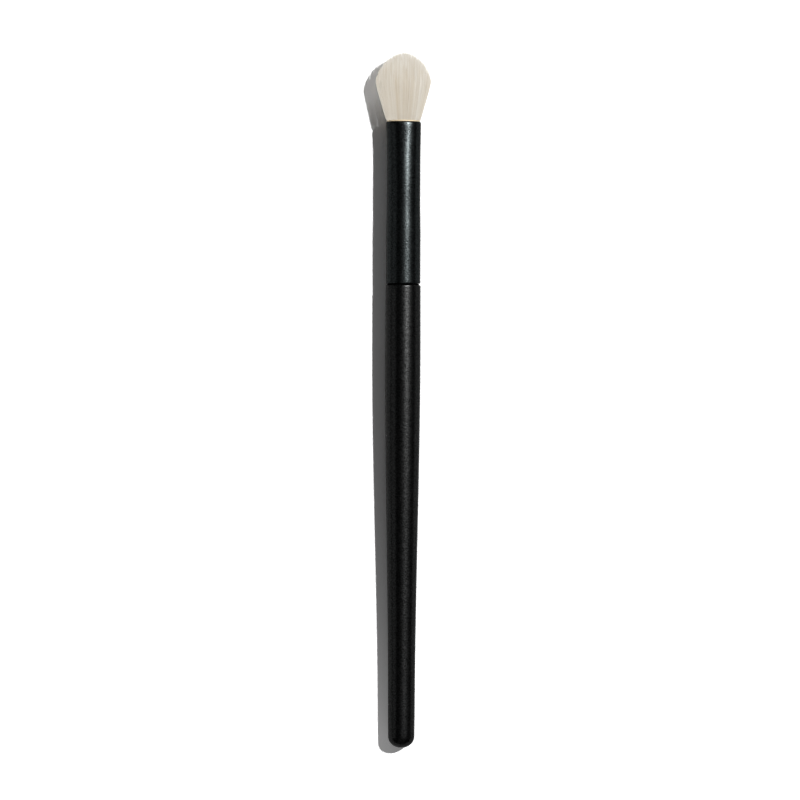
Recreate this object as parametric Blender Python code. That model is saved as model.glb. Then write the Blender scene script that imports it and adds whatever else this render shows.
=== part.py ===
# A blending brush for eye make-up, lying on a table as it is put down after use.
#
# The brush is a turned and lacquered wooden handle, a drawn brass ferrule that is coated black
# and pinched to an oval at its mouth, and a domed tuft of pale hair. Inside the ferrule are the
# handle's tenon with its beads of glue, and the root of the tuft, which is tied with thread and
# set in resin.
#
# Every piece is modelled about the brush's own axis, which is Y: the tail is at 0 and the tuft
# points to +Y. The empty rest_pose then lays the brush down, so that the straight stretch near
# the tail and the underside of the tuft both touch the plane Z = 0. All sizes are in metres.

import math

import bmesh
import bpy
from mathutils import Vector
from mathutils.geometry import delaunay_2d_cdt

# Handle, measured from its tail
HANDLE_LENGTH = 0.1134
TAIL_RADIUS = 0.00317
TAIL_DOME_LENGTH = 0.0028
REST_STRETCH_LENGTH = 0.0062
BELLY_RADIUS = 0.00432
BELLY_SETBACK = 0.0174
SHOULDER_RADIUS = 0.00427
SHOULDER_ROUNDING = 0.0004

# Tenon that the handle pushes into the ferrule
TENON_LENGTH = 0.016
TENON_CHAMFER = 0.0006
GROOVE_WIDTH = 0.0018
GROOVE_DEPTH = 0.0009
GROOVE_COUNT = 3
GLUE_CROWN_SHARE = 0.5

# Ferrule, measured from its foot
FERRULE_LENGTH = 0.0396
FERRULE_WALL = 0.00035
FOOT_RADIUS = 0.0042
FOOT_LENGTH = 0.0115
FOOT_ROUNDING = 0.00012
SWAGE_LENGTH = 0.0075
WAIST_RADIUS = 0.00404
PINCH_LENGTH = 0.0095
MOUTH_HALF_WIDTH = 0.00421
MOUTH_HALF_THICKNESS = 0.0037
MOUTH_SQUARENESS = 2.35
LIP_ROUNDING = 0.00026
RIM_STEP = 0.00016
RIM_LENGTH = 0.0003

# Hair, measured from the ferrule's mouth
TUFT_LENGTH = 0.0167
TUFT_WIDTH = 0.0135
TUFT_THICKNESS = 0.0098
TUFT_BELLY_HEIGHT = 0.0092
DOME_FULLNESS = 1.6
STRAND_COUNT = 300
RIM_STRAND_COUNT = 28
STRAND_POINT_LENGTH = 0.0018
STRAND_FILL_SHARE = 0.38
HAIR_SET_BACK = 0.004

# Resin that holds the root of the hair, and the thread that ties it
SLICE_THICKNESS = 0.001
SLICE_MARGIN = 0.00006
PLUG_SHARE = 0.57
PLUG_WAIST_SHARE = 0.46
PLUG_ROUNDING = 0.0004
THREAD_RADIUS = 0.0002
THREAD_SPACING = 0.00055
THREAD_RECESS = 0.00016

# Fits
SEAM_GAP = 0.0003
GLUE_GAP = 0.00025
BEDDING_GAP = 0.0003

# Fineness of the faceted surfaces
ROUND_SEGMENTS = 40
SMALL_ROUND_SEGMENTS = 32
ARC_STEPS = 4
DOME_STEPS = 7
TAPER_STEPS = 14
SHOULDER_STEPS = 4
SWAGE_STEPS = 4
PINCH_STEPS = 6
THREAD_POINTS_PER_TURN = 24
THREAD_BEVEL_RESOLUTION = 1
SHARP_ANGLE = math.radians(32)
MERGE_SHARE = 0.0001
GOLDEN_ANGLE = math.pi * (3 - math.sqrt(5))

# Places along the axis that follow from the sizes above
BELLY_POSITION = HANDLE_LENGTH - BELLY_SETBACK
TENON_END = HANDLE_LENGTH + TENON_LENGTH
REST_STRETCH_END = TAIL_DOME_LENGTH + REST_STRETCH_LENGTH
FERRULE_FOOT = HANDLE_LENGTH + SEAM_GAP
MOUTH = FERRULE_FOOT + FERRULE_LENGTH
SLICE_TOP = MOUTH - HAIR_SET_BACK
SLICE_FOOT = SLICE_TOP - SLICE_THICKNESS
PLUG_TOP = SLICE_FOOT - BEDDING_GAP
PLUG_FOOT = PLUG_TOP - PLUG_SHARE * (PLUG_TOP - TENON_END)
PLUG_WAIST_LENGTH = PLUG_WAIST_SHARE * (PLUG_TOP - PLUG_FOOT)
PLUG_WAIST_FOOT = (PLUG_TOP + PLUG_FOOT - PLUG_WAIST_LENGTH) / 2
PLUG_WAIST_TOP = PLUG_WAIST_FOOT + PLUG_WAIST_LENGTH

# The slope of the rest stretch, which lies in line with the underside of the tuft. The facets
# of a round piece lie inside its radius by this share.
FACET_SHARE = math.cos(math.pi / ROUND_SEGMENTS)
REST_SLOPE = (TUFT_THICKNESS / 2 / FACET_SHARE - TAIL_RADIUS) / (
    MOUTH + TUFT_BELLY_HEIGHT - TAIL_DOME_LENGTH
)

# Colour, roughness and metallic value of each material
FINISHES = {
    "lacquered_wood": ((0.008, 0.008, 0.009), 0.42, 0.0),
    "coated_brass": ((0.009, 0.010, 0.011), 0.36, 0.2),
    "natural_hair": ((0.68, 0.62, 0.53), 0.75, 0.0),
    "resin": ((0.62, 0.45, 0.20), 0.30, 0.0),
    "thread": ((0.80, 0.78, 0.72), 0.85, 0.0),
    "wood_glue": ((0.78, 0.70, 0.50), 0.50, 0.0),
}


def clear_scene():
    """Removes every object that the scene starts with."""
    for obj in list(bpy.data.objects):
        bpy.data.objects.remove(obj, do_unlink=True)


def spaced(start, end, steps):
    """Values from start to end in equal steps, both ends included."""
    return [blend(start, end, step / steps) for step in range(steps + 1)]


def blend(start, end, share):
    """The value at this share of the way from start to end."""
    return start + (end - start) * share


def smooth_step(share):
    """Eases from 0 to 1, level at both ends and beyond them."""
    share = min(max(share, 0), 1)
    return share * share * (3 - 2 * share)


def make_rest_pose():
    """The empty that lays the brush down on its rest stretch and on the side of its tuft."""
    tilt = math.atan(FACET_SHARE * REST_SLOPE)
    rise = FACET_SHARE * (TAIL_RADIUS - TAIL_DOME_LENGTH * REST_SLOPE)
    pose = bpy.data.objects.new("rest_pose", None)
    pose.rotation_euler = (tilt, 0, 0)
    pose.location = (0, -(MOUTH + TUFT_LENGTH) / 2 * math.cos(tilt), rise * math.cos(tilt))
    bpy.context.scene.collection.objects.link(pose)
    return pose


def add_object(name, data, finish, pose):
    """Links the mesh or curve as one named object on the brush's pose, with its material."""
    obj = bpy.data.objects.new(name, data)
    bpy.context.scene.collection.objects.link(obj)
    colour, roughness, metallic = FINISHES[finish]
    material = bpy.data.materials.get(finish) or bpy.data.materials.new(finish)
    material.use_nodes = True
    surface = material.node_tree.nodes["Principled BSDF"]
    surface.inputs["Base Color"].default_value = (*colour, 1)
    surface.inputs["Roughness"].default_value = roughness
    surface.inputs["Metallic"].default_value = metallic
    data.materials.append(material)
    obj.parent = pose


def add_shape(name, shape, finish, pose):
    """Turns a bmesh into an object whose round sides are shaded smooth."""
    bmesh.ops.recalc_face_normals(shape, faces=shape.faces)
    mesh = bpy.data.meshes.new(name)
    shape.to_mesh(mesh)
    shape.free()
    mesh.shade_smooth()
    mesh.set_sharp_from_angle(angle=SHARP_ANGLE)
    add_object(name, mesh, finish, pose)


def turned(profile, segments, closed=False):
    """Spins a profile of (position, radius) points round the axis, with one facet facing -Z.

    A closed profile makes a ring. An open one that starts and ends on the axis makes a solid.
    """
    shape = bmesh.new()
    lean = math.pi / segments
    points = [
        shape.verts.new((radius * math.sin(lean), position, -radius * math.cos(lean)))
        for position, radius in profile
    ]
    edges = [shape.edges.new(pair) for pair in zip(points, points[1:])]
    if closed:
        edges.append(shape.edges.new((points[-1], points[0])))
    bmesh.ops.spin(
        shape,
        geom=points + edges,
        axis=(0, 1, 0),
        cent=(0, 0, 0),
        angle=2 * math.pi,
        steps=segments,
        use_merge=True,
    )
    widest = max(radius for _, radius in profile)
    bmesh.ops.remove_doubles(shape, verts=shape.verts, dist=MERGE_SHARE * widest)
    return shape


def section_ring(position, section, segments):
    """Points of a section (half width, half thickness, squareness), with one side facing -Z.

    A squareness of 2 is an ellipse, and a larger one fills out its corners.
    """
    half_width, half_thickness, squareness = section
    ring = []
    for number in range(segments):
        angle = 2 * math.pi * (number + 0.5) / segments
        across, up = math.cos(angle), math.sin(angle)
        across = math.copysign(abs(across) ** (2 / squareness), across)
        up = math.copysign(abs(up) ** (2 / squareness), up)
        ring.append(Vector((half_width * across, position, half_thickness * up)))
    return ring


def lofted(rings, closed=False):
    """Bridges rings of points into one solid. A closed loft joins its last ring to its first."""
    shape = bmesh.new()
    loops = [[shape.verts.new(point) for point in ring] for ring in rings]
    pairs = list(zip(loops, loops[1:]))
    if closed:
        pairs.append((loops[-1], loops[0]))
    else:
        shape.faces.new(loops[0])
        shape.faces.new(loops[-1])
    for low, high in pairs:
        bridge(shape, low, high)
    return shape


def bridge(shape, low, high):
    """Joins two loops of as many vertices with a band of faces."""
    for number in range(len(low)):
        following = (number + 1) % len(low)
        shape.faces.new((low[number], low[following], high[following], high[number]))


def handle_radius(position):
    """Radius of the handle between its rest stretch and its shoulder."""
    start = TAIL_RADIUS + REST_SLOPE * REST_STRETCH_LENGTH
    if position < BELLY_POSITION:
        share = (position - REST_STRETCH_END) / (BELLY_POSITION - REST_STRETCH_END)
        return blend(start, BELLY_RADIUS, smooth_step(share))
    share = (position - BELLY_POSITION) / (HANDLE_LENGTH - BELLY_POSITION)
    return blend(BELLY_RADIUS, SHOULDER_RADIUS, smooth_step(share))


def tenon_radius():
    """Radius of the tenon, which fits the bore of the ferrule's foot."""
    return FOOT_RADIUS - FERRULE_WALL - GLUE_GAP


def groove_starts():
    """Where each glue groove starts along the axis, spread evenly on the tenon."""
    step = TENON_LENGTH / (GROOVE_COUNT + 1)
    return [
        HANDLE_LENGTH + step * (number + 1) - GROOVE_WIDTH / 2 for number in range(GROOVE_COUNT)
    ]


def tenon_profile():
    """Outline of the tenon from the handle's shoulder to its chamfered end."""
    radius = tenon_radius()
    floor = radius - GROOVE_DEPTH
    points = [(HANDLE_LENGTH, radius)]
    for start in groove_starts():
        stop = start + GROOVE_WIDTH
        points += [(start, radius), (start, floor), (stop, floor), (stop, radius)]
    points += [
        (TENON_END - TENON_CHAMFER, radius),
        (TENON_END, radius - TENON_CHAMFER),
        (TENON_END, 0),
    ]
    return points


def handle_profile():
    """Outline of the handle from the middle of its tail to the end of its tenon."""
    shoulder_start = HANDLE_LENGTH - SHOULDER_ROUNDING
    edge = handle_radius(shoulder_start) - SHOULDER_ROUNDING
    dome = [
        (TAIL_DOME_LENGTH * (1 - math.cos(angle)), TAIL_RADIUS * math.sin(angle))
        for angle in spaced(0, math.pi / 2, DOME_STEPS)
    ]
    swell = spaced(REST_STRETCH_END, BELLY_POSITION, TAPER_STEPS)
    swell += spaced(BELLY_POSITION, shoulder_start, SHOULDER_STEPS)[1:-1]
    shoulder = [
        (
            shoulder_start + SHOULDER_ROUNDING * math.sin(angle),
            edge + SHOULDER_ROUNDING * math.cos(angle),
        )
        for angle in spaced(0, math.pi / 2, ARC_STEPS)
    ]
    sides = [(position, handle_radius(position)) for position in swell]
    return dome + sides + shoulder + tenon_profile()


def make_handle(pose):
    """The turned wooden handle with its tenon."""
    add_shape("handle", turned(handle_profile(), ROUND_SEGMENTS), "lacquered_wood", pose)


def make_tenon_glue(pose):
    """A bead of cured glue in each groove of the tenon, crowned towards the ferrule's bore."""
    top = tenon_radius()
    floor = top - GROOVE_DEPTH + BEDDING_GAP
    crown = GLUE_CROWN_SHARE * (top - floor)
    half_width = GROOVE_WIDTH / 2 - BEDDING_GAP
    for number, start in enumerate(groove_starts(), 1):
        middle = start + GROOVE_WIDTH / 2
        profile = [(middle - half_width, floor), (middle + half_width, floor)]
        profile += [
            (middle + half_width * math.cos(angle), top - crown + crown * math.sin(angle))
            for angle in spaced(0, math.pi, ARC_STEPS)
        ]
        ring = turned(profile, SMALL_ROUND_SEGMENTS, closed=True)
        add_shape(f"tenon_glue_{number}", ring, "wood_glue", pose)


def ferrule_section(position, inset):
    """Section of the ferrule at a place along the axis, drawn in by inset from its outside."""
    height = position - FERRULE_FOOT
    swage = smooth_step((height - FOOT_LENGTH) / SWAGE_LENGTH)
    pinch = smooth_step((height - FERRULE_LENGTH + PINCH_LENGTH) / PINCH_LENGTH)
    radius = blend(FOOT_RADIUS, WAIST_RADIUS, swage)
    return (
        blend(radius, MOUTH_HALF_WIDTH, pinch) - inset,
        blend(radius, MOUTH_HALF_THICKNESS, pinch) - inset,
        blend(2, MOUTH_SQUARENESS, pinch),
    )


def bore_section(position, gap):
    """Section of a piece that fits the ferrule's bore with this gap all round."""
    return ferrule_section(position, FERRULE_WALL + gap)


def ferrule_wall():
    """(position, inset) pairs up the ferrule's outside, over its lip and down its bore."""
    lip_start = MOUTH - RIM_LENGTH - LIP_ROUNDING
    swage_start = FERRULE_FOOT + FOOT_LENGTH
    rings = spaced(swage_start, swage_start + SWAGE_LENGTH, SWAGE_STEPS)
    rings += spaced(MOUTH - PINCH_LENGTH, lip_start, PINCH_STEPS)
    rings.sort()
    foot = [(FERRULE_FOOT, FOOT_ROUNDING), (FERRULE_FOOT + FOOT_ROUNDING, 0)]
    outside = [(position, 0) for position in rings]
    lip = [
        (lip_start + LIP_ROUNDING * math.sin(angle), RIM_STEP * (1 - math.cos(angle)))
        for angle in spaced(0, math.pi / 2, ARC_STEPS)[1:]
    ]
    rim = [(MOUTH, RIM_STEP), (MOUTH, FERRULE_WALL)]
    bore = [(position, FERRULE_WALL) for position in reversed(rings[:-1])]
    return foot + outside + lip + rim + bore + [(FERRULE_FOOT, FERRULE_WALL)]


def make_ferrule(pose):
    """The drawn brass tube, swaged above the tenon and pinched to an oval at its mouth."""
    rings = [
        section_ring(position, ferrule_section(position, inset), ROUND_SEGMENTS)
        for position, inset in ferrule_wall()
    ]
    add_shape("ferrule", lofted(rings, closed=True), "coated_brass", pose)


def plug_waist_radius():
    """Radius of the plug's waist, deep enough for the thread to lie below the plug's sides."""
    half_width, half_thickness, _ = bore_section(PLUG_WAIST_TOP, GLUE_GAP)
    return min(half_width, half_thickness) - THREAD_RECESS - 2 * THREAD_RADIUS - BEDDING_GAP


def make_root_plug(pose):
    """The root of the tuft set in resin, which fills the bore above and below its waist."""
    waist = (plug_waist_radius(), plug_waist_radius(), 2)
    sections = [
        (position, bore_section(position, GLUE_GAP + inset))
        for position, inset in (
            (PLUG_FOOT, PLUG_ROUNDING),
            (PLUG_FOOT + PLUG_ROUNDING, 0),
            (PLUG_WAIST_FOOT - PLUG_ROUNDING, 0),
            (PLUG_WAIST_TOP + PLUG_ROUNDING, 0),
            (PLUG_TOP - PLUG_ROUNDING, 0),
            (PLUG_TOP, PLUG_ROUNDING),
        )
    ]
    sections[3:3] = [(PLUG_WAIST_FOOT, waist), (PLUG_WAIST_TOP, waist)]
    rings = [section_ring(*place, SMALL_ROUND_SEGMENTS) for place in sections]
    add_shape("root_plug", lofted(rings), "resin", pose)


def thread_points():
    """Points down the middle of the thread: a helix in the waist with a straight run at each end."""
    reach = THREAD_RADIUS + BEDDING_GAP
    start, stop = PLUG_WAIST_FOOT + reach, PLUG_WAIST_TOP - reach
    turns = (stop - start) / (2 * THREAD_RADIUS + THREAD_SPACING)
    radius = plug_waist_radius() + reach
    helix = [
        Vector(
            (
                radius * math.cos(2 * math.pi * turns * share),
                blend(start, stop, share),
                radius * math.sin(2 * math.pi * turns * share),
            )
        )
        for share in spaced(0, 1, math.ceil(turns * THREAD_POINTS_PER_TURN))
    ]
    first_run = (helix[0] - helix[1]).normalized() * 2 * THREAD_RADIUS
    last_run = (helix[-1] - helix[-2]).normalized() * 2 * THREAD_RADIUS
    return [helix[0] + first_run, *helix, helix[-1] + last_run]


def least_gap(points):
    """Least gap between two turns of the thread, measured between its points."""
    apart = THREAD_POINTS_PER_TURN // 2
    return min(
        (point - other).length - 2 * THREAD_RADIUS
        for number, point in enumerate(points)
        for other in points[number + apart :]
    )


def make_root_binding(pose):
    """The thread that ties the root of the tuft, as one unbroken tube."""
    points = thread_points()
    curve = bpy.data.curves.new("root_binding", "CURVE")
    curve.dimensions = "3D"
    curve.bevel_depth = THREAD_RADIUS
    curve.bevel_resolution = THREAD_BEVEL_RESOLUTION
    curve.use_fill_caps = True
    spline = curve.splines.new("POLY")
    spline.points.add(len(points) - 1)
    for point, place in zip(spline.points, points):
        point.co = (*place, 1)
    add_object("root_binding", curve, "thread", pose)
    print(f"root_binding: the least gap between its turns is {least_gap(points) * 1000:.2f} mm")


def bundle_half_sizes(height):
    """Half width and half thickness of the bundle of hair at a height above the mouth.

    The bundle fills the bore up to the mouth, flares from there to its belly and keeps that
    width above it, where the dome only cuts its strands to length.
    """
    margin = GLUE_GAP + SLICE_MARGIN
    slice_section, mouth_section = bore_section(SLICE_TOP, margin), bore_section(MOUTH, margin)
    flare = min(max(height / TUFT_BELLY_HEIGHT, 0), 1)
    return (
        blend(min(slice_section[0], mouth_section[0]), TUFT_WIDTH / 2, flare),
        blend(min(slice_section[1], mouth_section[1]), TUFT_THICKNESS / 2, flare),
    )


def strand_radius(height):
    """Radius of a strand, from its share of the room that the bundle has at this height."""
    half_width, half_thickness = bundle_half_sizes(height)
    return STRAND_FILL_SHARE * math.sqrt(math.pi * half_width * half_thickness / STRAND_COUNT)


def strand_seats():
    """Where the strands stand on a unit disc, spread like the seeds of a sunflower.

    The rim strands stand on its edge. The last seat is the lowest one, where the tuft rests.
    """
    seats = []
    for number in range(STRAND_COUNT):
        distance = math.sqrt((number + 0.5) / (STRAND_COUNT - (RIM_STRAND_COUNT + 1) / 2))
        if number >= STRAND_COUNT - RIM_STRAND_COUNT:
            distance = 1
        angle = GOLDEN_ANGLE * (number + 1 - STRAND_COUNT) - math.pi / 2
        seats.append((distance * math.cos(angle), distance * math.sin(angle)))
    return seats


def strand_centre(seat, height):
    """The middle of the strand on this seat at a height above the mouth."""
    half_width, half_thickness = bundle_half_sizes(height)
    radius = strand_radius(height)
    return Vector(
        (seat[0] * (half_width - radius), MOUTH + height, seat[1] * (half_thickness - radius))
    )


def strand_foot(seat):
    """The three corners of a strand on the slice, the first of them away from the axis."""
    centre, radius = strand_centre(seat, -HAIR_SET_BACK), strand_radius(-HAIR_SET_BACK)
    outward = math.atan2(seat[1], seat[0])
    turns = (outward + 2 * math.pi * corner / 3 for corner in range(3))
    return [centre + radius * Vector((math.cos(turn), 0, math.sin(turn))) for turn in turns]


def strand_tip_height(seat):
    """Height of a strand's tip above the mouth, on the dome of the tuft."""
    lowest_tip = TUFT_BELLY_HEIGHT + STRAND_POINT_LENGTH
    dome = math.sqrt(1 - min(math.hypot(*seat), 1) ** DOME_FULLNESS)
    return blend(lowest_tip, TUFT_LENGTH, dome)


def raise_strand(shape, foot, seat):
    """Extrudes a strand from its foot to the mouth, the belly and its point, and pokes its tip.

    A strand whose point starts close above the belly tapers from the belly itself.
    """
    tip_height = strand_tip_height(seat)
    stages = [0, TUFT_BELLY_HEIGHT]
    if tip_height - TUFT_BELLY_HEIGHT > 2 * STRAND_POINT_LENGTH:
        stages.append(tip_height - STRAND_POINT_LENGTH)
    below, face = -HAIR_SET_BACK, foot
    for height in stages:
        face = bmesh.ops.extrude_discrete_faces(shape, faces=[face])["faces"][0]
        growth = strand_radius(height) / strand_radius(below)
        for vertex in face.verts:
            offset = vertex.co - strand_centre(seat, below)
            vertex.co = strand_centre(seat, height) + growth * offset
        below = height
    tip = bmesh.ops.poke(shape, faces=[face])["verts"][0]
    tip.co = strand_centre(seat, tip_height)


def make_hair_tuft(pose):
    """Strands that fan out to the dome, all rooted in one slice of the resin.

    The top of the slice is triangulated round the foot of every strand.
    """
    seats = strand_seats()
    rim = section_ring(SLICE_TOP, bore_section(SLICE_TOP, GLUE_GAP), SMALL_ROUND_SEGMENTS)
    corners = rim + [corner for seat in seats for corner in strand_foot(seat)]
    rim_edges = [(number, (number + 1) % len(rim)) for number in range(len(rim))]
    foot_edges = [
        (first + corner, first + (corner + 1) % 3)
        for first in range(len(rim), len(corners), 3)
        for corner in range(3)
    ]
    flat = [Vector((corner.x, corner.z)) for corner in corners]
    points, _, triangles, sources, _, _ = delaunay_2d_cdt(flat, rim_edges + foot_edges, [], 0, 0)
    shape = bmesh.new()
    top = [shape.verts.new((point.x, SLICE_TOP, point.y)) for point in points]
    for triangle in triangles:
        shape.faces.new([top[number] for number in triangle])
    placed = {min(source): vertex for source, vertex in zip(sources, top)}
    feet = [
        shape.faces.get([placed[first + corner] for corner in range(3)])
        for first in range(len(rim), len(corners), 3)
    ]
    for foot, seat in zip(feet, seats):
        raise_strand(shape, foot, seat)
    underside = section_ring(
        SLICE_FOOT, bore_section(SLICE_FOOT, GLUE_GAP), SMALL_ROUND_SEGMENTS
    )
    low = [shape.verts.new(point) for point in underside]
    shape.faces.new(low)
    bridge(shape, low, [placed[number] for number in range(len(rim))])
    add_shape("hair_tuft", shape, "natural_hair", pose)


def main():
    """Builds the brush and lays it down."""
    clear_scene()
    pose = make_rest_pose()
    make_handle(pose)
    make_tenon_glue(pose)
    make_ferrule(pose)
    make_root_plug(pose)
    make_root_binding(pose)
    make_hair_tuft(pose)


main()
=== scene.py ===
"""A blending brush for eye make-up: its lacquer, brass and hair, and the light that it lies in.

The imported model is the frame. The brush lies along +Y on the floor, and all sizes are in metres.
Finer meshes of the handle, the ferrule and the hair stand for their CAD nodes. The pieces inside
the ferrule keep their CAD solids and get a finish.
"""

import logging
import math
from dataclasses import dataclass
from enum import Enum
from typing import Callable, Mapping, Sequence, Union

import bmesh
import bpy
from mathutils import Matrix, Vector


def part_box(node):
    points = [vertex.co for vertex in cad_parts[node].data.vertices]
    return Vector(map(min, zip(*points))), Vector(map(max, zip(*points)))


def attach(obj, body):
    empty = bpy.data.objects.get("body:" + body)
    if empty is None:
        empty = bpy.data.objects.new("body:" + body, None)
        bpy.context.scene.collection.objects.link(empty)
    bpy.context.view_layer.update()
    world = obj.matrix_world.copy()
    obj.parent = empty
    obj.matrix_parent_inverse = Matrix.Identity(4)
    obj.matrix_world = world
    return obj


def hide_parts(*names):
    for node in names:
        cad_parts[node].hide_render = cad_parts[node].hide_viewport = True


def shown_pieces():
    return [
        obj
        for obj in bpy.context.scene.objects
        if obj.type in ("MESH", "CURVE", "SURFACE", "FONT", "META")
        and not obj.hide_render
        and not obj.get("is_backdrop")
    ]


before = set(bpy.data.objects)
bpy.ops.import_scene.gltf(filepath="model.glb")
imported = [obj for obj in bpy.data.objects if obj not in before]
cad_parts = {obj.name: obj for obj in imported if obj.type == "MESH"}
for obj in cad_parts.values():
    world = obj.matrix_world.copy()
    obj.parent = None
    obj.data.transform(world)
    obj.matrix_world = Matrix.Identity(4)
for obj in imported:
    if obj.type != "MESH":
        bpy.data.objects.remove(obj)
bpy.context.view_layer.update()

LOG = logging.getLogger("blending_brush")
BODY = "root"
SHARP_ANGLE = math.radians(32)
WELD_DISTANCE = 0.000001
GOLDEN_ANGLE = math.pi * (3 - math.sqrt(5))
TONE_AND_SIDE_LIGHT = "hair_tone"
HEIGHT = "hair_height"

Colour = tuple[float, float, float]
Place = tuple[float, float, float]
Value = Union[float, "Field"]
Socket = bpy.types.NodeSocket
Profile = list[tuple[float, float]]
Pieces = Sequence[bpy.types.Object]


class Slot(Enum):
    """The record's material slots."""

    LACQUERED_WOOD = "lacquered_wood"
    COATED_BRASS = "coated_brass"
    NATURAL_HAIR = "natural_hair"
    RESIN = "resin"
    THREAD = "thread"
    WOOD_GLUE = "wood_glue"


def placed(name: str, data: bpy.types.ID) -> bpy.types.Object:
    """Puts a mesh, a light or a camera into the scene.

    Args:
        name: The name of the object.
        data: What it holds.

    Returns:
        The object.
    """
    thing = bpy.data.objects.new(name, data)
    bpy.context.scene.collection.objects.link(thing)
    return thing


def meshed(name: str, shape: bmesh.types.BMesh) -> bpy.types.Mesh:
    """Makes a mesh of a shape, which is freed.

    Args:
        name: The name of the mesh.
        shape: The shape.

    Returns:
        The mesh.
    """
    mesh = bpy.data.meshes.new(name)
    shape.to_mesh(mesh)
    shape.free()
    return mesh


def joined_by(operation: str, swapped: bool = False) -> Callable[["Field", Value], "Field"]:
    """Makes an operator of a field out of a Math node.

    Args:
        operation: What the node does with its two values.
        swapped: Whether the other value comes before the field.

    Returns:
        The operator.
    """

    def operator(field: "Field", other: Value) -> "Field":
        """What the node makes of the field and the other value."""
        return field.writer.sum(operation, *((other, field) if swapped else (field, other)))

    return operator


class Field:
    """A number in a node tree, which can be used in sums."""

    def __init__(self, writer: "NodeWriter", socket: Socket) -> None:
        """Keeps the output that holds the number, and the writer of its tree."""
        self.writer = writer
        self.socket = socket

    __add__ = __radd__ = joined_by("ADD")
    __sub__ = joined_by("SUBTRACT")
    __rsub__ = joined_by("SUBTRACT", swapped=True)
    __mul__ = __rmul__ = joined_by("MULTIPLY")
    __truediv__ = joined_by("DIVIDE")
    __rtruediv__ = joined_by("DIVIDE", swapped=True)
    __pow__ = joined_by("POWER")
    __rpow__ = joined_by("POWER", swapped=True)


class NodeWriter:
    """Adds nodes to a tree and links them."""

    def __init__(self, tree: bpy.types.NodeTree) -> None:
        """Takes the tree to write in."""
        self.tree = tree

    def add(
        self,
        kind: str,
        inputs: Mapping[Union[int, str], object] | None = None,
        **settings: object,
    ) -> bpy.types.Node:
        """Adds one node.

        Args:
            kind: Blender's name for the node's type.
            inputs: What the inputs take, by name or number: a field, a socket or a plain value.
            settings: The node's own properties.

        Returns:
            The node.
        """
        node = self.tree.nodes.new(kind)
        for name, setting in settings.items():
            setattr(node, name, setting)
        for key, value in (inputs or {}).items():
            self.feed(node.inputs[key], value)
        return node

    def feed(self, socket: Socket, value: object) -> None:
        """Links a field or a socket to an input, or sets a plain value on it.

        Args:
            socket: The input.
            value: The field, the socket or the plain value.
        """
        if isinstance(value, Field):
            value = value.socket
        if isinstance(value, Socket):
            self.tree.links.new(value, socket)
        else:
            socket.default_value = value

    def sum(self, operation: str, *values: Value) -> Field:
        """What a Math node makes of the values."""
        node = self.add("ShaderNodeMath", dict(enumerate(values)), operation=operation)
        return Field(self, node.outputs[0])

    def share(self, value: Value, start: Value, end: Value, kind: str = "LINEAR") -> Field:
        """How far a value is from start to end, from 0 to 1 and level beyond them.

        Args:
            value: The value.
            start: Where the share is 0.
            end: Where the share is 1.
            kind: LINEAR, or SMOOTHSTEP to ease in and out.

        Returns:
            The share.
        """
        inputs = {0: value, 1: start, 2: end}
        node = self.add("ShaderNodeMapRange", inputs, interpolation_type=kind)
        return Field(self, node.outputs[0])

    def point(self, x: Value, y: Value, z: Value) -> Socket:
        """A vector of three numbers."""
        return self.add("ShaderNodeCombineXYZ", {0: x, 1: y, 2: z}).outputs[0]

    def parts(self, vector: Socket) -> list[Field]:
        """The three numbers of a vector."""
        node = self.add("ShaderNodeSeparateXYZ", {0: vector})
        return [Field(self, output) for output in node.outputs]

    def noise(self, place: Socket, size: float, detail: float = 2.0) -> Field:
        """Soft noise from 0 to 1, whose patches are about this size."""
        inputs = {"Vector": place, "Scale": 1 / size, "Detail": detail}
        return Field(self, self.add("ShaderNodeTexNoise", inputs).outputs[0])


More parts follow.
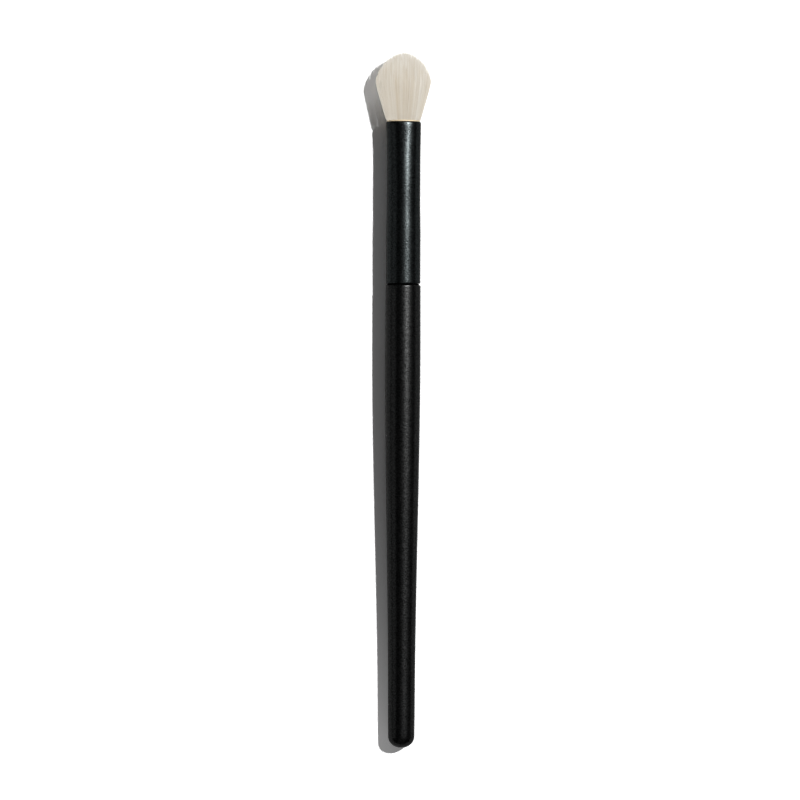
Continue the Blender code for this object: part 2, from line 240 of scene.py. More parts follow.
class ShapeTree(NodeWriter):
    """A Geometry Nodes tree with named inputs, which becomes a plain mesh."""

    def __init__(self, name: str) -> None:
        """Starts the tree with its geometry input and output.

        Args:
            name: The tree's name.
        """
        super().__init__(bpy.data.node_groups.new(name, "GeometryNodeTree"))
        self.values: dict[str, object] = {}
        for direction in ("INPUT", "OUTPUT"):
            self.tree.interface.new_socket(
                "Geometry", in_out=direction, socket_type="NodeSocketGeometry"
            )
        self.start = self.add("NodeGroupInput")
        self.end = self.add("NodeGroupOutput")

    def size(self, name: str, value: object, kind: str = "Float") -> Field:
        """Adds a named input.

        Args:
            name: The input's name.
            value: What the modifier sets it to.
            kind: Float, Int or Material.

        Returns:
            The input as a field.
        """
        socket = self.tree.interface.new_socket(
            name, in_out="INPUT", socket_type=f"NodeSocket{kind}"
        )
        self.values[socket.identifier] = value
        return Field(self, self.start.outputs[name])

    def stored(self, name: str, kind: str = "FLOAT") -> Socket:
        """A named attribute of the geometry."""
        inputs = {"Name": name}
        return self.add("GeometryNodeInputNamedAttribute", inputs, data_type=kind).outputs[0]

    def store(
        self, geometry: Socket, name: str, value: Union[Field, Socket], kind: str = "FLOAT"
    ) -> Socket:
        """Keeps a value of each point of the geometry under a name, and returns the geometry."""
        inputs = {"Geometry": geometry, "Name": name, "Value": value}
        return self.add("GeometryNodeStoreNamedAttribute", inputs, data_type=kind).outputs[0]

    def random(self, low: Value, high: Value, seed: Value) -> Field:
        """A number between low and high for each point."""
        node = self.add("FunctionNodeRandomValue", {2: low, 3: high, 8: seed}, data_type="FLOAT")
        return Field(self, node.outputs[1])

    def index(self) -> Field:
        """The number of each point."""
        return Field(self, self.add("GeometryNodeInputIndex").outputs[0])

    def position(self) -> list[Field]:
        """The three coordinates of each point."""
        return self.parts(self.add("GeometryNodeInputPosition").outputs[0])

    def become(
        self, name: str, base: bpy.types.Mesh, geometry: Socket, material: bpy.types.Material
    ) -> bpy.types.Mesh:
        """Ends the tree and turns what it makes into a plain mesh.

        Args:
            name: The name of the mesh.
            base: The mesh that the tree starts from.
            geometry: What the tree has made.
            material: The material of every face.

        Returns:
            The mesh, without the modifier.
        """
        finish = self.size("Material", material, "Material")
        real = self.add("GeometryNodeRealizeInstances", {"Geometry": geometry}).outputs[0]
        inputs = {"Geometry": real, "Material": finish}
        self.feed(self.end.inputs[0], self.add("GeometryNodeSetMaterial", inputs).outputs[0])
        maker = placed(name, base)
        modifier = maker.modifiers.new(self.tree.name, "NODES")
        modifier.node_group = self.tree
        for identifier, value in self.values.items():
            modifier[identifier] = value
        evaluated = maker.evaluated_get(bpy.context.evaluated_depsgraph_get())
        mesh = bpy.data.meshes.new_from_object(evaluated)
        bpy.data.objects.remove(maker)
        mesh.name = name
        return mesh


class Surface(NodeWriter):
    """A material whose Principled shader a finish dresses."""

    def __init__(self, name: str) -> None:
        """Starts a material with a Principled shader.

        Args:
            name: The material's name.
        """
        self.material = bpy.data.materials.new(name)
        self.material.use_nodes = True
        super().__init__(self.material.node_tree)
        self.shader = self.tree.nodes["Principled BSDF"]
        self.place = self.add("ShaderNodeTexCoord").outputs["Object"]

    def stretched(self, stretch: Colour) -> Socket:
        """The place on the piece, drawn out along each axis by this much."""
        scale = tuple(1 / length for length in stretch)
        return self.add("ShaderNodeMapping", {"Vector": self.place, "Scale": scale}).outputs[0]

    def colour(self, share: Field, low: Colour, high: Colour) -> None:
        """Blends the base colour.

        Args:
            share: How far the colour is from low to high.
            low: The colour at 0.
            high: The colour at 1.
        """
        node = self.add("ShaderNodeValToRGB", {"Fac": share})
        for element, colour in zip(node.color_ramp.elements, (low, high)):
            element.color = (*colour, 1)
        self.feed(self.shader.inputs["Base Color"], node.outputs[0])

    def rough(self, middle: float, drift: float, share: Field) -> None:
        """Lets the roughness drift round its middle as a share goes from 0 to 1."""
        self.feed(self.shader.inputs["Roughness"], middle + drift * (share - 0.5))

    def relief(self, height: Field) -> None:
        """Raises the surface by a height in metres, as bump."""
        bump = self.add("ShaderNodeBump", {"Distance": 1.0, "Height": height})
        self.feed(self.shader.inputs["Normal"], bump.outputs[0])

    def set(self, **constants: object) -> None:
        """Sets constants on the shader's own sockets, whose names have _ for a space."""
        for name, value in constants.items():
            self.shader.inputs[name.replace("_", " ")].default_value = value


@dataclass(frozen=True)
class SatinCoat:
    """A black satin coat of fine dark flakes, whose grain breaks its highlights into sparkle."""

    name: str
    dark: Colour
    light: Colour
    roughness: float
    roughness_drift: float = 0.08
    flake_share: float = 1.0
    flake_edge: float = 0.53
    grain_size: float = 0.00036
    grain_contrast: float = 2.2
    grain_depth: float = 0.00002
    ripple_size: float = 0.0011
    ripple_depth: float = 0.000006

    def material(self) -> bpy.types.Material:
        """Makes the coat.

        Returns:
            The material.
        """
        surface = Surface(self.name)
        grain = surface.noise(surface.place, self.grain_size)
        ripple = surface.noise(surface.place, self.ripple_size)
        surface.colour((grain - 0.5) * self.grain_contrast + 0.5, self.dark, self.light)
        surface.rough(self.roughness, self.roughness_drift, ripple)
        surface.relief(grain * self.grain_depth + ripple * self.ripple_depth)
        surface.set(Metallic=self.flake_share, Specular_Tint=(*(self.flake_edge,) * 3, 1))
        return surface.material


@dataclass(frozen=True)
class BareBrass:
    """Bare brass with fine turning lines round the axis."""

    name: str = "bare_brass"
    dark: Colour = (0.72, 0.61, 0.43)
    light: Colour = (0.80, 0.71, 0.54)
    roughness: float = 0.8
    roughness_drift: float = 0.15
    cloud_size: float = 0.001
    line_size: float = 0.00004
    line_depth: float = 0.000001

    def material(self) -> bpy.types.Material:
        """Makes the brass.

        Returns:
            The material.
        """
        surface = Surface(self.name)
        lines = surface.noise(surface.stretched((1.0, self.line_size, 1.0)), 1.0)
        cloud = surface.noise(surface.place, self.cloud_size)
        surface.colour(cloud, self.dark, self.light)
        surface.rough(self.roughness, self.roughness_drift, cloud)
        surface.relief(lines * self.line_depth)
        surface.set(Metallic=1.0)
        return surface.material


@dataclass(frozen=True)
class SoftHair:
    """Pale natural hair, whose tone differs from hair to hair and pales towards its tip, with
    painted light that makes the tuft's sides and the hair by its root paler.
    """

    name: str = "soft_hair"
    shade: Colour = (0.527, 0.466, 0.373)
    light: Colour = (0.695, 0.683, 0.645)
    tip_paling: float = 0.42
    # Painted light: how much paler the hair by the root is made, lifting the shade by the mouth.
    root_painted_light: float = 0.06
    roughness: float = 0.5
    roughness_drift: float = 0.1
    mottle_size: float = 0.0004
    mottle_depth: float = 0.25

    def material(self) -> bpy.types.Material:
        """Makes the hair's surface.

        Returns:
            The material.
        """
        surface = Surface(self.name)
        tone, height = (
            Field(surface, surface.add("ShaderNodeAttribute", attribute_name=name).outputs["Fac"])
            for name in (TONE_AND_SIDE_LIGHT, HEIGHT)
        )
        mottle = surface.noise(surface.place, self.mottle_size)
        # The tone holds painted light that makes the tuft's sides paler.
        share = tone * (1 - self.tip_paling) + self.mottle_depth * (mottle - 0.5)
        # Painted light: the share is raised by the root so the hair by the mouth renders paler; the
        # paling towards the tip is the hair's own colour.
        share = share + self.tip_paling * height**3 + self.root_painted_light * (1 - height) ** 3
        surface.colour(share, self.shade, self.light)
        surface.rough(self.roughness, self.roughness_drift, tone)
        return surface.material


@dataclass(frozen=True)
class CloudyFinish:
    """A plain stuff whose colour and surface vary in soft patches or in drawn-out fibres."""

    name: str
    dark: Colour
    light: Colour
    roughness: float
    patch: Colour
    relief_depth: float
    subsurface: float = 0.0
    subsurface_scale: float = 0.001
    roughness_drift: float = 0.1
    detail: float = 4.0

    def material(self) -> bpy.types.Material:
        """Makes the stuff.

        Returns:
            The material.
        """
        surface = Surface(self.name)
        cloud = surface.noise(surface.stretched(self.patch), 1.0, self.detail)
        surface.colour(cloud, self.dark, self.light)
        surface.rough(self.roughness, self.roughness_drift, cloud)
        surface.relief(cloud * self.relief_depth)
        surface.set(Subsurface_Weight=self.subsurface, Subsurface_Scale=self.subsurface_scale)
        return surface.material


@dataclass(frozen=True)
class PaperFloor:
    """White paper that the camera and reflections see at full white, with the brush's shadow.

    The photograph's shadow pales towards the brush's tail, so the paper glows a little there.
    Far from the brush it glows too, so that it stays white where the key light doesn't reach.
    The middle of the handle dips a little under the frame's ground, and the paper lies below it.
    """

    seen: float = 1.0
    bounced: float = 0.8
    half_side: float = 3.0
    drop: float = 0.00024
    tail_glow: float = 0.145
    glow_start: float = 0.02
    glow_end: float = -0.082
    glow_sharpness: float = 3.6
    near: float = 0.2
    far: float = 0.5

    def material(self) -> bpy.types.Material:
        """Makes the paper.

        Returns:
            The material.
        """
        surface = Surface("white_paper")
        path = surface.add("ShaderNodeLightPath")
        camera = Field(surface, path.outputs["Is Camera Ray"])
        seen = surface.sum("MAXIMUM", camera, path.outputs["Is Glossy Ray"])
        seen = surface.sum("MAXIMUM", seen, path.outputs["Is Transmission Ray"])
        surface.colour(seen, (self.bounced,) * 3, (self.seen,) * 3)
        across, along, _ = surface.parts(surface.place)
        nearness = surface.share(along, self.glow_start, self.glow_end)
        distance = (across * across + along * along) ** 0.5
        # Painted light: the paper glows for the camera towards the brush's tail, so the brush's
        # shadow there renders paler.
        glow = self.tail_glow * nearness**self.glow_sharpness
        glow = glow + surface.share(distance, self.near, self.far)
        surface.feed(surface.shader.inputs["Emission Strength"], camera * glow)
        surface.set(Roughness=1.0, Specular_IOR_Level=0.0, Emission_Color=(1, 1, 1, 1))
        return surface.material

    def lay(self) -> None:
        """Lays the paper under the brush."""
        shape = bmesh.new()
        bmesh.ops.create_grid(shape, x_segments=1, y_segments=1, size=self.half_side)
        mesh = meshed("paper_floor", shape)
        mesh.transform(Matrix.Translation((0, 0, -self.drop)))
        mesh.materials.append(self.material())
        placed(mesh.name, mesh)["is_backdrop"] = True


LACQUER = SatinCoat("black_lacquer", (0.0035, 0.0035, 0.0035), (0.0203, 0.0207, 0.0207), 0.28)
COAT = SatinCoat("black_coat", (0.0033, 0.004, 0.004), (0.020, 0.0225, 0.023), 0.28)
# Painted shade: a near-black, rough coat that reflects almost nothing, for the handle's shoulder
# and neck inside the seam, so the gap under the ferrule renders darker than its own shade makes it.
SEAM_SHADE_BLACK = SatinCoat("painted_seam_shade", (0.0005,) * 3, (0.0015,) * 3, 0.85)
BARE_WOOD = CloudyFinish(
    "bare_wood", (0.42, 0.29, 0.16), (0.66, 0.50, 0.31), 0.7, (0.0005, 0.009, 0.0005), 0.00002
)
RESIN = CloudyFinish(
    "amber_resin", (0.34, 0.20, 0.06), (0.66, 0.47, 0.20), 0.25, (0.0012,) * 3, 0.00001, 0.4
)
GLUE = CloudyFinish(
    "cured_glue", (0.66, 0.56, 0.36), (0.84, 0.78, 0.60), 0.45, (0.0006,) * 3, 0.00002, 0.3
)
THREAD = CloudyFinish(
    "tied_thread", (0.62, 0.58, 0.50), (0.88, 0.86, 0.80), 0.85, (0.0001, 0.00004, 0.0001), 0.00002
)


@dataclass(frozen=True)
class BrushAxis:
    """The line down the middle of the brush: where its tail is, and which way it points."""

    tail: Vector
    along: Vector

    @classmethod
    def of_frame(cls) -> "BrushAxis":
        """Finds the axis from the glue beads, which are rings round it, and the handle's tail.

        Returns:
            The axis.
        """
        middles = [sum(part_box(f"tenon_glue_{number}"), Vector()) / 2 for number in (1, 3)]
        along = (middles[1] - middles[0]).normalized()
        reach = (middles[0].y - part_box("handle")[0].y) / along.y
        return cls(middles[0] - reach * along, along)

    def lie(self, mesh: bpy.types.Mesh) -> None:
        """Takes a mesh from the brush's own frame, tail at 0 and hair to +Y, to where it lies.

        Args:
            mesh: The mesh, which is changed.
        """
        across = Vector((1, 0, 0))
        turn = Matrix((across, self.along, across.cross(self.along))).transposed()
        mesh.transform(Matrix.Translation(self.tail) @ turn.to_4x4())


def add_piece(mesh: bpy.types.Mesh, slot: Slot, *nodes: str) -> bpy.types.Object:
    """Adds a finished mesh as a piece of the brush.

    Args:
        mesh: The mesh, where it lies.
        slot: The record's material slot, which is not used.
        nodes: The CAD nodes that the piece stands for.

    Returns:
        The piece.
    """
    piece = placed(mesh.name, mesh)
    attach(piece, BODY)
    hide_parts(*nodes)
    return piece


def outward(mesh: bpy.types.Mesh) -> None:
    """Turns the faces of closed shapes outwards and shades their round sides smooth.

    Args:
        mesh: The mesh, which is changed.
    """
    shape = bmesh.new()
    shape.from_mesh(mesh)
    bmesh.ops.recalc_face_normals(shape, faces=shape.faces)
    shape.to_mesh(mesh)
    shape.free()
    mesh.shade_smooth()
    mesh.set_sharp_from_angle(angle=SHARP_ANGLE)


def spaced(start: float, end: float, steps: int) -> list[float]:
    """Values from start to end in equal steps, both ends included."""
    return [start + (end - start) * step / steps for step in range(steps + 1)]


def eased(value: float, start: float, end: float) -> float:
    """Eases from 0 at start to 1 at end, level beyond them."""
    share = min(max((value - start) / (end - start), 0), 1)
    return share * share * (3 - 2 * share)


def joined_rings(rings: Sequence[Sequence[Vector]], closed: bool) -> bmesh.types.BMesh:
    """Joins rings of points with bands of faces.

    Args:
        rings: The rings, each with as many points.
        closed: Whether the last ring is joined to the first.

    Returns:
        The shape. The faces of each band follow those of the band before.
    """
    shape = bmesh.new()
    loops = [[shape.verts.new(point) for point in ring] for ring in rings]
    following = loops[1:] + loops[:1] if closed else loops[1:]
    for low, high in zip(loops, following):
        for number in range(len(low)):
            after = (number + 1) % len(low)
            shape.faces.new((low[number], low[after], high[after], high[number]))
    return shape


@dataclass(frozen=True)
class Handle:
    """The turned handle and its tenon, measured along the brush from its tail."""

    length: float = 0.11312
    tail_radius: float = 0.00323
    dome_length: float = 0.0028
    stretch_length: float = 0.0062
    stretch_slope: float = 0.0109
    belly_radius: float = 0.00432
    belly_setback: float = 0.0174
    shoulder_radius: float = 0.00427
    shoulder_rounding: float = 0.0003
    neck_radius: float = 0.0039
    neck_length: float = 0.0003
    tenon_radius: float = 0.0036
    tenon_length: float = 0.01628
    tenon_chamfer: float = 0.0006
    groove_width: float = 0.0018
    groove_depth: float = 0.0009
    groove_count: int = 3
    lacquer_reach: float = 0.0006
    rings: int = 200
    segments: int = 96

    def tenon_profile(self) -> Profile:
        """Draws the outline of the tenon.

        Returns:
            The outline as (position, radius), from the shoulder to the tenon's end.
        """
        radius = self.tenon_radius
        floor = radius - self.groove_depth
        step = self.tenon_length / (self.groove_count + 1)
        end = self.length + self.tenon_length
        lacquer_end = self.length + self.lacquer_reach
        points = [(self.length, self.shoulder_radius - self.shoulder_rounding)]
        neck_end = self.length + self.neck_length
        points += [(self.length, self.neck_radius), (neck_end, self.neck_radius)]
        points += [(neck_end, radius), (lacquer_end, radius)]
        for number in range(self.groove_count):
            start = self.length + step * (number + 1) - self.groove_width / 2
            stop = start + self.groove_width
            points += [(start, radius), (start, floor), (stop, floor), (stop, radius)]
        return points + [
            (end - self.tenon_chamfer, radius),
            (end, radius - self.tenon_chamfer),
            (end, 0.0),
        ]

    def tenon(self) -> bpy.types.Mesh:
        """Turns the tenon.

        Returns:
            Its mesh, open at the shoulder.
        """
        turns = [2 * math.pi * number / self.segments for number in range(self.segments)]
        rings = [
            [Vector((radius * math.cos(turn), position, radius * math.sin(turn))) for turn in turns]
            for position, radius in self.tenon_profile()
        ]
        shape = joined_rings(rings, closed=False)
        bmesh.ops.remove_doubles(shape, verts=shape.verts, dist=WELD_DISTANCE)
        return meshed("tenon", shape)

    def radius(self, tree: ShapeTree, position: Field, length: Field) -> Field:
        """Radius of the lacquered part, by the rule that it is turned to.

        Args:
            tree: The tree to write in.
            position: How far along the brush, from the tail.
            length: The length of the lacquered part.

        Returns:
            The radius, which is 0 at the tip of the tail.
        """
        tail = tree.size("Tail Radius", self.tail_radius)
        dome = tree.size("Tail Dome Length", self.dome_length)
        stretch_end = dome + tree.size("Rest Stretch Length", self.stretch_length)
        slope = tree.size("Rest Stretch Slope", self.stretch_slope)
        belly = tree.size("Belly Radius", self.belly_radius)
        belly_place = length - tree.size("Belly Setback", self.belly_setback)
        shoulder = tree.size("Shoulder Radius", self.shoulder_radius)
        rounding = tree.size("Shoulder Rounding", self.shoulder_rounding)
        start = tail + slope * (stretch_end - dome) * tree.share(position, dome, stretch_end)
        swell = tree.share(position, stretch_end, belly_place, "SMOOTHSTEP")
        settling = tree.share(position, belly_place, length, "SMOOTHSTEP")
        side = start + (belly - start) * swell + (shoulder - belly) * settling
        inside_dome = 1 - tree.share(position, 0.0, dome)
        over_shoulder = tree.share(position, length - rounding, length)
        cut = rounding * (1 - (1 - over_shoulder * over_shoulder) ** 0.5)
        return side * (1 - inside_dome * inside_dome) ** 0.5 - cut

    def build(self, axis: BrushAxis) -> bpy.types.Object:
        """Sweeps the handle's rule round its axis, joins the tenon and lays both down.

        Args:
            axis: The line down the middle of the brush.

        Returns:
            The handle with its tenon.
        """
        tree = ShapeTree("turned_handle")
        length = tree.size("Handle Length", self.length)
        inputs = {
            "Size X": 1.0,
            "Size Y": 1.0,
            "Vertices X": tree.size("Rings", self.rings, "Int"),
            "Vertices Y": tree.size("Segments", self.segments, "Int") + 1,
        }
        grid = tree.add("GeometryNodeMeshGrid", inputs).outputs[0]
        along, around, _ = tree.position()
        position = length / 2 * (1 - tree.sum("COSINE", math.pi * (along + 0.5)))
        turn = 2 * math.pi * (around + 0.5)
        radius = self.radius(tree, position, length)
        place = tree.point(
            radius * tree.sum("COSINE", turn), position, radius * tree.sum("SINE", turn)
        )
        swept = tree.add("GeometryNodeSetPosition", {"Geometry": grid, "Position": place})
        both = tree.add("GeometryNodeJoinGeometry")
        for geometry in (swept.outputs[0], tree.start.outputs[0]):
            tree.feed(both.inputs[0], geometry)
        inputs = {"Geometry": both.outputs[0], "Distance": WELD_DISTANCE}
        welded = tree.add("GeometryNodeMergeByDistance", inputs).outputs[0]
        lacquer = LACQUER.material()
        mesh = tree.become("turned_handle", self.tenon(), welded, lacquer)
        mesh.materials.clear()
        for material in (lacquer, SEAM_SHADE_BLACK.material(), BARE_WOOD.material()):
            mesh.materials.append(material)
        # Faces past the shoulder's edge take the painted seam shade, and faces past the lacquer's
        # reach take bare wood.
        joint = self.length - WELD_DISTANCE
        starts = (joint, joint + self.lacquer_reach)
        for face in mesh.polygons:
            face.material_index = sum(face.center.y > start for start in starts)
        outward(mesh)
        axis.lie(mesh)
        return add_piece(mesh, Slot.LACQUERED_WOOD, "handle")


@dataclass(frozen=True)
class Ferrule:
    """The drawn brass tube, measured from its foot, which stands a seam above the handle."""

    foot: float = 0.1135
    length: float = 0.0398
    wall: float = 0.00043
    foot_radius: float = 0.0042
    foot_length: float = 0.0117
    foot_rounding: float = 0.00012
    film: float = 0.00004
    swage_length: float = 0.0075
    waist_radius: float = 0.0041
    pinch_length: float = 0.0095
    thinning_length: float = 0.018
    mouth_half_width: float = 0.00421
    mouth_half_thickness: float = 0.0037
    mouth_squareness: float = 2.1
    left_flare: float = 0.00011
    left_flare_length: float = 0.0045
    lip_rounding: float = 0.0007
    rim_step: float = 0.00028
    rim_length: float = 0.0003
    rim_rounding: float = 0.00012
    bands: int = 90
    arc_steps: int = 7
    segments: int = 128

    def flared(self, height: float) -> float:
        """Half of how far the left side, which isn't quite even, has flared at a height."""
        start = self.length - self.left_flare_length
        return self.left_flare * (max(height - start, 0) / self.left_flare_length) ** 2

    def section(self, height: float, inset: float) -> tuple[float, float, float]:
        """Measures the tube.

        Args:
            height: How far above the foot.
            inset: How far inside its outer surface.

        Returns:
            Half width, half thickness and squareness.
        """
        swage = eased(height, self.foot_length, self.foot_length + self.swage_length)
        pinch = eased(height, self.length - self.pinch_length, self.length)
        thinning = eased(height, self.length - self.thinning_length, self.length)
        radius = self.foot_radius + (self.waist_radius - self.foot_radius) * swage
        return (
            radius + (self.mouth_half_width - radius) * pinch + self.flared(height) - inset,
            radius + (self.mouth_half_thickness - radius) * thinning - inset,
            2 + (self.mouth_squareness - 2) * pinch,
        )

    def ring(self, height: float, inset: float) -> list[Vector]:
        """Draws a ring round the tube.

        Args:
            height: How far above the foot.
            inset: How far inside its outer surface.

        Returns:
            The points of the ring.
        """
        half_width, half_thickness, squareness = self.section(height, inset)
        middle = -self.flared(height)
        points = []
        for number in range(self.segments):
            turn = 2 * math.pi * number / self.segments
            across, up = math.cos(turn), math.sin(turn)
            across = math.copysign(abs(across) ** (2 / squareness), across)
            up = math.copysign(abs(up) ** (2 / squareness), up)
            across, up = middle + half_width * across, half_thickness * up
            points.append(Vector((across, self.foot + height, up)))
        return points

    def coated_wall(self) -> Profile:
        """Follows the outside of the tube.

        Returns:
            Its rings as (height, inset), from the foot to where the coat ends over the lip.
        """
        lip = self.length - self.rim_length - self.lip_rounding
        turns = spaced(0, math.pi / 2, self.arc_steps)
        foot = [
            (self.foot_rounding * (1 - math.cos(turn)), self.foot_rounding * (1 - math.sin(turn)))
            for turn in turns
        ]
        side = [(height, 0.0) for height in spaced(self.foot_rounding, lip, self.bands)[1:]]
        over = [
            (lip + self.lip_rounding * math.sin(turn), self.rim_step * (1 - math.cos(turn)))
            for turn in turns[1:]
        ]
        return [(0.0, self.wall - self.film)] + foot + side + over

    def bare_wall(self) -> Profile:
        """Follows the bare brass.

        Returns:
            Its rings as (height, inset), from the end of the coat over the rim to the foot.
        """
        start = self.length - self.rim_rounding
        rim = [
            (
                start + self.rim_rounding * math.sin(turn),
                self.rim_step + self.rim_rounding * (1 - math.cos(turn)),
            )
            for turn in spaced(0, math.pi / 2, self.arc_steps)
        ]
        bore = [(height, self.wall) for height in spaced(self.length, self.film / 2, self.bands)]
        return rim + bore

    def shell(
        self, axis: BrushAxis, name: str, wall: Profile, material: bpy.types.Material
    ) -> bpy.types.Object:
        """Joins the rings of a wall to one closed shell and lays it down.

        Args:
            axis: The line down the middle of the brush.
            name: The name of the piece.
            wall: The rings as (height, inset), all the way round the wall.
            material: Its material.

        Returns:
            The piece.
        """
        shape = joined_rings([self.ring(height, inset) for height, inset in wall], closed=True)
        mesh = meshed(name, shape)
        mesh.materials.append(material)
        outward(mesh)
        axis.lie(mesh)
        return add_piece(mesh, Slot.COATED_BRASS, "ferrule")

    def build(self, axis: BrushAxis) -> list[bpy.types.Object]:
        """Makes the brass tube and the film of coat round it.

        Args:
            axis: The line down the middle of the brush.

        Returns:
            The tube and the film.
        """
        outside, core, inside = (
            [(max(height, depth), inset + depth) for height, inset in self.coated_wall()]
            for depth in (0.0, self.film / 2, self.film)
        )
        tube = self.shell(axis, "drawn_tube", core + self.bare_wall(), BareBrass().material())
        return [tube, self.shell(axis, "black_film", outside + inside[::-1], COAT.material())]


@dataclass(frozen=True)
class HairLayer:
    """Hairs of the tuft that make one piece.

    They are some of the hairs that are spread over the tuft together, counted from its middle.
    A hair keeps a random share of its full length, from shortest to longest.
    """

    name: str
    spread: int
    first: int
    count: int
    shortest: float = 1.0
    longest: float = 1.0


@dataclass(frozen=True)
class HairTuft:
    """The domed tuft: fine hairs that start inside the mouth, flare to a belly and end in a dome.

    A hair is drawn in stages: -1 is its root, 0 the mouth, 1 the height of the belly, 2 its tip.
    """

    mouth: float = 0.1533
    root_depth: float = 0.004
    mouth_half_width: float = 0.00388
    mouth_half_thickness: float = 0.00325
    mouth_squareness: float = 2.1
    spring: float = 0.00041
    spring_height: float = 0.00035
    belly_height: float = 0.0093
    belly_half_width: float = 0.00675
    belly_half_thickness: float = 0.00452
    belly_squareness: float = 1.6
    belly_sag: float = 0.00033
    easing_share: float = 0.25
    length: float = 0.0166
    dome_fullness: float = 1.8
    dome_sharpness: float = 0.54
    dome_thinning: float = 0.22
    lean: float = -0.00016
    lean_start: float = -0.0015
    lean_end: float = 0.0006
    upright_share: float = 0.6
    tip_spread: float = 0.0005
    lowest_tip_share: float = -0.7
    highest_tip_share: float = 0.3
    lock_density: float = 10.0
    lock_spread: float = 0.0002
    lock_pull: float = 0.45
    lock_pull_end: float = 1.5
    lock_contrast: float = 0.85
    lock_darkness: float = 0.15
    hair_contrast: float = 0.2
    # Painted light: how much paler hairs towards the tuft's sides are made.
    side_painted_light: float = 0.12
    hair_radius: float = 0.00003
    hair_sides: int = 3
    point_start: float = 1.2
    point_share: float = 0.25
    seat_scatter: float = 0.8
    least_distance: float = 0.001
    seed: int = 7
    stages: tuple[float, ...] = (-1, -0.1, 0.06, 0.25, 0.5, 0.78, 1, 1.4, 1.8, 2)
    long_layers: tuple[HairLayer, ...] = (
        HairLayer("hair_core", 9000, 0, 3000),
        HairLayer("hair_middle", 9000, 3000, 3000),
        HairLayer("hair_edge", 9000, 6000, 3000),
    )
    short_layer: HairLayer = HairLayer("short_hair", 300, 0, 300, shortest=0.02, longest=0.72)

    def hair_line(self) -> bpy.types.Mesh:
        """Draws one hair.

        Returns:
            A line through its stages.
        """
        mesh = bpy.data.meshes.new("hair_line")
        points = [(0, stage, 0) for stage in self.stages]
        mesh.from_pydata(points, [(i, i + 1) for i in range(len(points) - 1)], [])
        return mesh

    def rooted(self, tree: ShapeTree, layer: HairLayer) -> Socket:
        """Spreads the hairs' roots like the seeds of a sunflower, on a disc of radius 1.

        Args:
            tree: The tree to write in.
            layer: The layer of the tuft.

        Returns:
            Points with each hair's seat, the middle of its lock, its tone with painted light that
            makes the sides paler, and its reach and share of its full length.
        """
        total = tree.size("Hairs In All", float(layer.spread))
        first = tree.size("First Hair", float(layer.first))
        count = tree.size("Hair Count", layer.count, "Int")
        seed = tree.size("Seed", self.seed, "Int")
        number = tree.index() + first
        turn = number * GOLDEN_ANGLE
        distance = ((number + 0.5) / total) ** 0.5
        spread = self.seat_scatter / total ** 0.5
        seat = tree.point(
            distance * tree.sum("COSINE", turn) + tree.random(-1.0, 1.0, seed) * spread,
            0.0,
            distance * tree.sum("SINE", turn) + tree.random(-1.0, 1.0, seed + 1) * spread,
        )
        lock = tree.add(
            "ShaderNodeTexVoronoi",
            {"Vector": seat, "Scale": tree.size("Locks Across", self.lock_density)},
        )
        lock_tone = tree.parts(lock.outputs["Color"])[0]
        side = tree.parts(seat)[0]
        # Painted light: hairs towards the tuft's sides are made paler, for light that comes through
        # its thin margins.
        side_painted_light = tree.size("Side Painted Light", self.side_painted_light) * side * side
        hair_tone = self.hair_contrast * tree.random(0.0, 1.0, seed + 2)
        tone = hair_tone + self.lock_contrast * (lock_tone - self.lock_darkness) + side_painted_light
        reach = tree.random(self.lowest_tip_share, self.highest_tip_share, seed + 3)
        reach = reach * tree.size("Tip Spread", self.tip_spread)
        reach = reach + (lock_tone - 0.5) * tree.size("Lock Spread", self.lock_spread)
        points = tree.add("GeometryNodePoints", {"Count": count}).outputs[0]
        points = tree.store(points, "seat", seat, "FLOAT_VECTOR")
        points = tree.store(points, "lock", lock.outputs["Position"], "FLOAT_VECTOR")
        points = tree.store(points, "reach", reach)
        shortest = tree.size("Shortest Share", layer.shortest)
        longest = tree.size("Longest Share", layer.longest)
        points = tree.store(points, "kept", tree.random(shortest, longest, seed + 4))
        return tree.store(points, TONE_AND_SIDE_LIGHT, tone)

    def gathered(self, tree: ShapeTree, stage: Field) -> tuple[Field, Field, Field]:
        """Draws each hair towards the middle of its lock as it rises.

        Args:
            tree: The tree to write in.
            stage: The stage of each point of a hair.

        Returns:
            The place of each point across and up the disc of radius 1, and how far it would be
            from the disc's middle if the edge didn't hold it.
        """
        seat_x, _, seat_z = tree.parts(tree.stored("seat", "FLOAT_VECTOR"))
        lock_x, _, lock_z = tree.parts(tree.stored("lock", "FLOAT_VECTOR"))
        pull = tree.size("Lock Pull", self.lock_pull)
        pull = pull * tree.share(stage, 0.0, self.lock_pull_end)
        across, up = seat_x + (lock_x - seat_x) * pull, seat_z + (lock_z - seat_z) * pull
        distance = (across * across + up * up) ** 0.5
        hold = 1 / tree.sum("MAXIMUM", distance, 1.0)
        return across * hold, up * hold, distance

    def raised(self, tree: ShapeTree, stage: Field, belly: Field, length: Field) -> Field:
        """Raises each hair from its root, past the belly, to its place in the dome.

        Args:
            tree: The tree to write in.
            stage: The stage of each point of a hair.
            belly: The height of the belly.
            length: The height of the tuft's tip.

        Returns:
            The height of each point above the mouth.
        """
        seat_x, _, seat_z = tree.parts(tree.stored("seat", "FLOAT_VECTOR"))
        from_middle = tree.sum("MINIMUM", (seat_x * seat_x + seat_z * seat_z) ** 0.5, 1.0)
        dome = 1 - from_middle ** tree.size("Dome Fullness", self.dome_fullness)
        dome = dome ** tree.size("Dome Sharpness", self.dome_sharpness)
        over = (length - belly) * dome + Field(tree, tree.stored("reach"))
        height = belly * tree.share(stage, 0.0, 1.0) + over * tree.share(stage, 1.0, 2.0)
        height = height * Field(tree, tree.stored("kept"))
        return height - tree.size("Root Depth", self.root_depth) * tree.share(stage, 0.0, -1.0)

